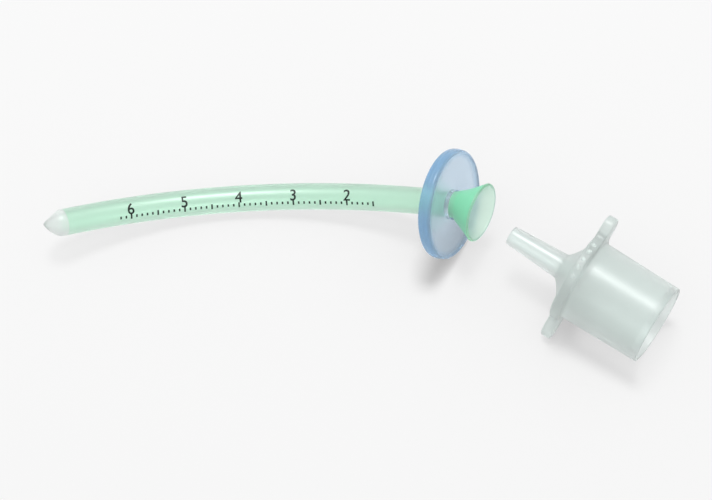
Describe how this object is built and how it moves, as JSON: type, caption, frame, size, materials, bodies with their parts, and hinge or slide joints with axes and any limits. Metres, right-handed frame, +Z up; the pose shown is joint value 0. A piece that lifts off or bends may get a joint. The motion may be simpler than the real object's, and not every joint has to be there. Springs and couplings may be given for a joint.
{
  "type": "nasopharyngeal airway",
  "caption": "Curved soft nasal airway with a flared end, a bevelled soft tip and a sliding round flange, lying beside its breathing-circuit connector.",
  "frame": {"origin": "centre of the outline of the pieces as they lie, on the surface that they lie on", "axes": "+X along the airway from its soft tip to its flare and on to the connector, +Z up from the surface that the pieces lie on"},
  "size_m": [0.1108, 0.0382, 0.0189],
  "materials": {
    "mint_soft_pvc": "extruded soft PVC, translucent",
    "clear_soft_pvc": "dip-moulded soft PVC, milky and translucent",
    "blue_soft_pvc": "injection-moulded soft PVC, translucent",
    "clear_hard_plastic": "injection-moulded clear plastic, glossy"
  },
  "bodies": {
    "airway": {"airway_tube": "mint_soft_pvc", "soft_tip": "clear_soft_pvc", "circuit_connector": "clear_hard_plastic"},
    "flange": {"flange_disc": "blue_soft_pvc"}
  },
  "joints": [
    {"name": "flange_slide", "type": "hinge", "parent": "airway", "child": "flange", "pos_m": [-0.01792, -0.03694, 0.04922], "axis": [-0.0495, 0.6678, 0.7427], "range_deg": [0, 45]}
  ]
}
